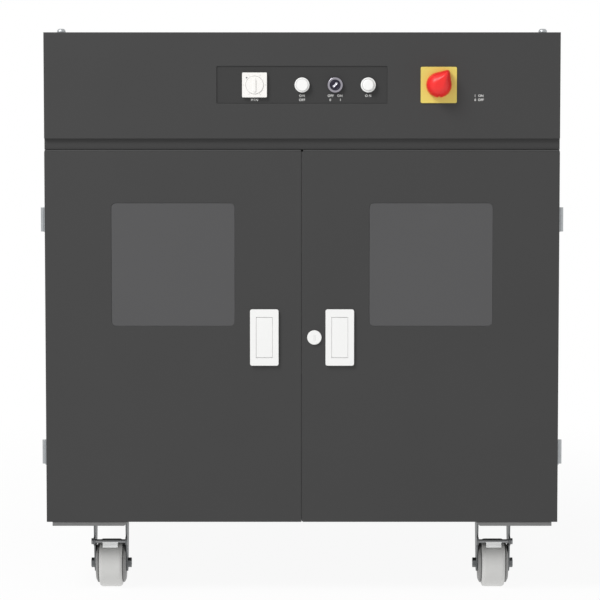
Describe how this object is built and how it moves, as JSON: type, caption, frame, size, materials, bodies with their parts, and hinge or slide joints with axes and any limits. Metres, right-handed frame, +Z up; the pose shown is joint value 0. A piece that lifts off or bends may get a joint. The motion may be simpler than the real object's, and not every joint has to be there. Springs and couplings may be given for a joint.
{
  "type": "resin printer",
  "caption": "Floor-standing resin printer in a two-door steel cabinet on casters, with a control strip, a rotary isolator, a resin vat and a screw-driven build platform.",
  "frame": {"origin": "on the floor, under the middle of the whole outline", "axes": "+Z up, the doors face -Y, +X to the right of someone who faces the doors"},
  "size_m": [1.0186, 1.058, 1.109],
  "materials": {
    "cabinet_paint": "fine satin powder coat",
    "frame_paint": "satin powder coat",
    "window_tint": "smoked ultraviolet-blocking acrylic",
    "strip_film": "matt film",
    "white_plastic": "moulded, satin gloss",
    "yellow_plate": "moulded, satin gloss",
    "red_handle": "moulded, satin gloss",
    "black_plastic": "moulded, matt",
    "switch_chrome": "plated",
    "zinc": "zinc plated",
    "wheel_grey": "moulded polyamide",
    "aluminium": "clear anodised",
    "ground_steel": "ground",
    "screen_glass": "polished",
    "seal_rubber": "moulded"
  },
  "bodies": {
    "cabinet": {"left_side_panel": "cabinet_paint", "right_side_panel": "cabinet_paint", "back_panel": "cabinet_paint", "roof_panel": "cabinet_paint", "front_fascia": "cabinet_paint", "frame_tubes": "frame_paint", "floor_pan": "frame_paint", "chamber_ceiling": "frame_paint", "light_box": "frame_paint", "control_plate": "strip_film", "timer_housing": "white_plastic", "button_bodies": "white_plastic", "indicator_lens": "white_plastic", "isolator_plate": "yellow_plate", "isolator_body": "black_plastic", "z_motor": "black_plastic", "controller": "black_plastic", "fan_housing": "black_plastic", "power_inlet": "black_plastic", "key_switch_body": "switch_chrome", "roof_bolts": "zinc", "hinge_frame_leaves": "zinc", "caster_brackets": "zinc", "front_caster_forks": "zinc", "rear_caster_plates": "zinc", "power_supply": "zinc", "deck_plate": "aluminium", "vat": "aluminium", "z_column": "aluminium", "screw_bearings": "aluminium", "linear_rails": "ground_steel", "mask_screen": "screen_glass", "door_seals": "seal_rubber"},
    "left_door": {"left_door": "cabinet_paint", "left_window": "window_tint", "left_handle_plate": "white_plastic", "left_hinge_leaves": "zinc"},
    "right_door": {"right_door": "cabinet_paint", "right_window": "window_tint", "right_handle_plate": "white_plastic", "right_hinge_leaves": "zinc"},
    "left_paddle": {"left_handle_paddle": "white_plastic"},
    "right_paddle": {"right_handle_paddle": "white_plastic"},
    "door_lock": {"lock_barrel": "white_plastic"},
    "timer_dial": {"timer_dial": "white_plastic"},
    "start_button": {"start_button_cap": "white_plastic"},
    "key_barrel": {"key_barrel": "switch_chrome"},
    "isolator_handle": {"isolator_handle": "red_handle"},
    "front_left_wheel": {"front_left_wheel": "wheel_grey"},
    "front_right_wheel": {"front_right_wheel": "wheel_grey"},
    "front_left_brake": {"front_left_brake": "zinc"},
    "front_right_brake": {"front_right_brake": "zinc"},
    "rear_left_swivel": {"rear_left_fork": "zinc"},
    "rear_right_swivel": {"rear_right_fork": "zinc"},
    "rear_left_wheel": {"rear_left_wheel": "wheel_grey"},
    "rear_right_wheel": {"rear_right_wheel": "wheel_grey"},
    "platform": {"z_carriage": "aluminium", "build_platform": "aluminium"},
    "lead_screw": {"lead_screw": "ground_steel"},
    "fan_rotor": {"fan_rotor": "black_plastic"}
  },
  "joints": [
    {"name": "left_door_swing", "type": "hinge", "parent": "cabinet", "child": "left_door", "pos_m": [-0.5048, -0.4725, 0.5075], "axis": [0, 0, -1], "range_deg": [0, 165]},
    {"name": "left_paddle_push", "type": "hinge", "parent": "left_door", "child": "left_paddle", "pos_m": [-0.0735, -0.4975, 0.542], "axis": [1, 0, 0], "range_deg": [0, 12], "stiffness_Nm_per_rad": 0.02},
    {"name": "front_left_roll", "type": "hinge", "parent": "cabinet", "child": "front_left_wheel", "pos_m": [-0.38, -0.394, 0.0475], "axis": [1, 0, 0], "continuous": true},
    {"name": "front_left_brake_press", "type": "hinge", "parent": "cabinet", "child": "front_left_brake", "pos_m": [-0.38, -0.43001, 0.09599], "axis": [1, 0, 0], "range_deg": [0, 20]},
    {"name": "rear_left_turn", "type": "hinge", "parent": "cabinet", "child": "rear_left_swivel", "pos_m": [-0.38, 0.4285, 0.137], "axis": [0, 0, 1], "continuous": true},
    {"name": "rear_left_roll", "type": "hinge", "parent": "rear_left_swivel", "child": "rear_left_wheel", "pos_m": [-0.38, 0.4635, 0.0475], "axis": [1, 0, 0], "continuous": true},
    {"name": "right_door_swing", "type": "hinge", "parent": "cabinet", "child": "right_door", "pos_m": [0.5048, -0.4725, 0.5075], "axis": [0, 0, 1], "range_deg": [0, 165]},
    {"name": "right_paddle_push", "type": "hinge", "parent": "right_door", "child": "right_paddle", "pos_m": [0.0735, -0.4975, 0.542], "axis": [1, 0, 0], "range_deg": [0, 12], "stiffness_Nm_per_rad": 0.02},
    {"name": "front_right_roll", "type": "hinge", "parent": "cabinet", "child": "front_right_wheel", "pos_m": [0.38, -0.394, 0.0475], "axis": [1, 0, 0], "continuous": true},
    {"name": "front_right_brake_press", "type": "hinge", "parent": "cabinet", "child": "front_right_brake", "pos_m": [0.38, -0.43001, 0.09599], "axis": [1, 0, 0], "range_deg": [0, 20]},
    {"name": "rear_right_turn", "type": "hinge", "parent": "cabinet", "child": "rear_right_swivel", "pos_m": [0.38, 0.4285, 0.137], "axis": [0, 0, 1], "continuous": true},
    {"name": "rear_right_roll", "type": "hinge", "parent": "rear_right_swivel", "child": "rear_right_wheel", "pos_m": [0.38, 0.4635, 0.0475], "axis": [1, 0, 0], "continuous": true},
    {"name": "door_lock_turn", "type": "hinge", "parent": "right_door", "child": "door_lock", "pos_m": [0.024, -0.495, 0.508], "axis": [0, 1, 0], "range_deg": [0, 90]},
    {"name": "timer_dial_turn", "type": "hinge", "parent": "cabinet", "child": "timer_dial", "pos_m": [-0.092, -0.495, 0.9985], "axis": [0, 1, 0], "range_deg": [0, 300]},
    {"name": "key_turn", "type": "hinge", "parent": "cabinet", "child": "key_barrel", "pos_m": [0.064, -0.495, 0.9985], "axis": [0, 1, 0], "range_deg": [-90, 0]},
    {"name": "isolator_turn", "type": "hinge", "parent": "cabinet", "child": "isolator_handle", "pos_m": [0.2645, -0.495, 0.9985], "axis": [0, -1, 0], "range_deg": [0, 90]},
    {"name": "fan_spin", "type": "hinge", "parent": "cabinet", "child": "fan_rotor", "pos_m": [0.26, 0.4845, 0.705], "axis": [0, 1, 0], "continuous": true},
    {"name": "screw_turn", "type": "hinge", "parent": "cabinet", "child": "lead_screw", "pos_m": [0, 0.263, 0.43], "axis": [0, 0, 1], "range_deg": [-8246, 20]},
    {"name": "start_press", "type": "slide", "parent": "cabinet", "child": "start_button", "axis": [0, 1, 0], "range_m": [0, 0.003], "stiffness_N_per_m": 300},
    {"name": "platform_lift", "type": "slide", "parent": "cabinet", "child": "platform", "axis": [0, 0, 1], "range_m": [-0.2285, 0]}
  ],
  "couplings": [
    {"joint": "screw_turn", "follows": "platform_lift", "rad_per_m": 628.32}
  ]
}
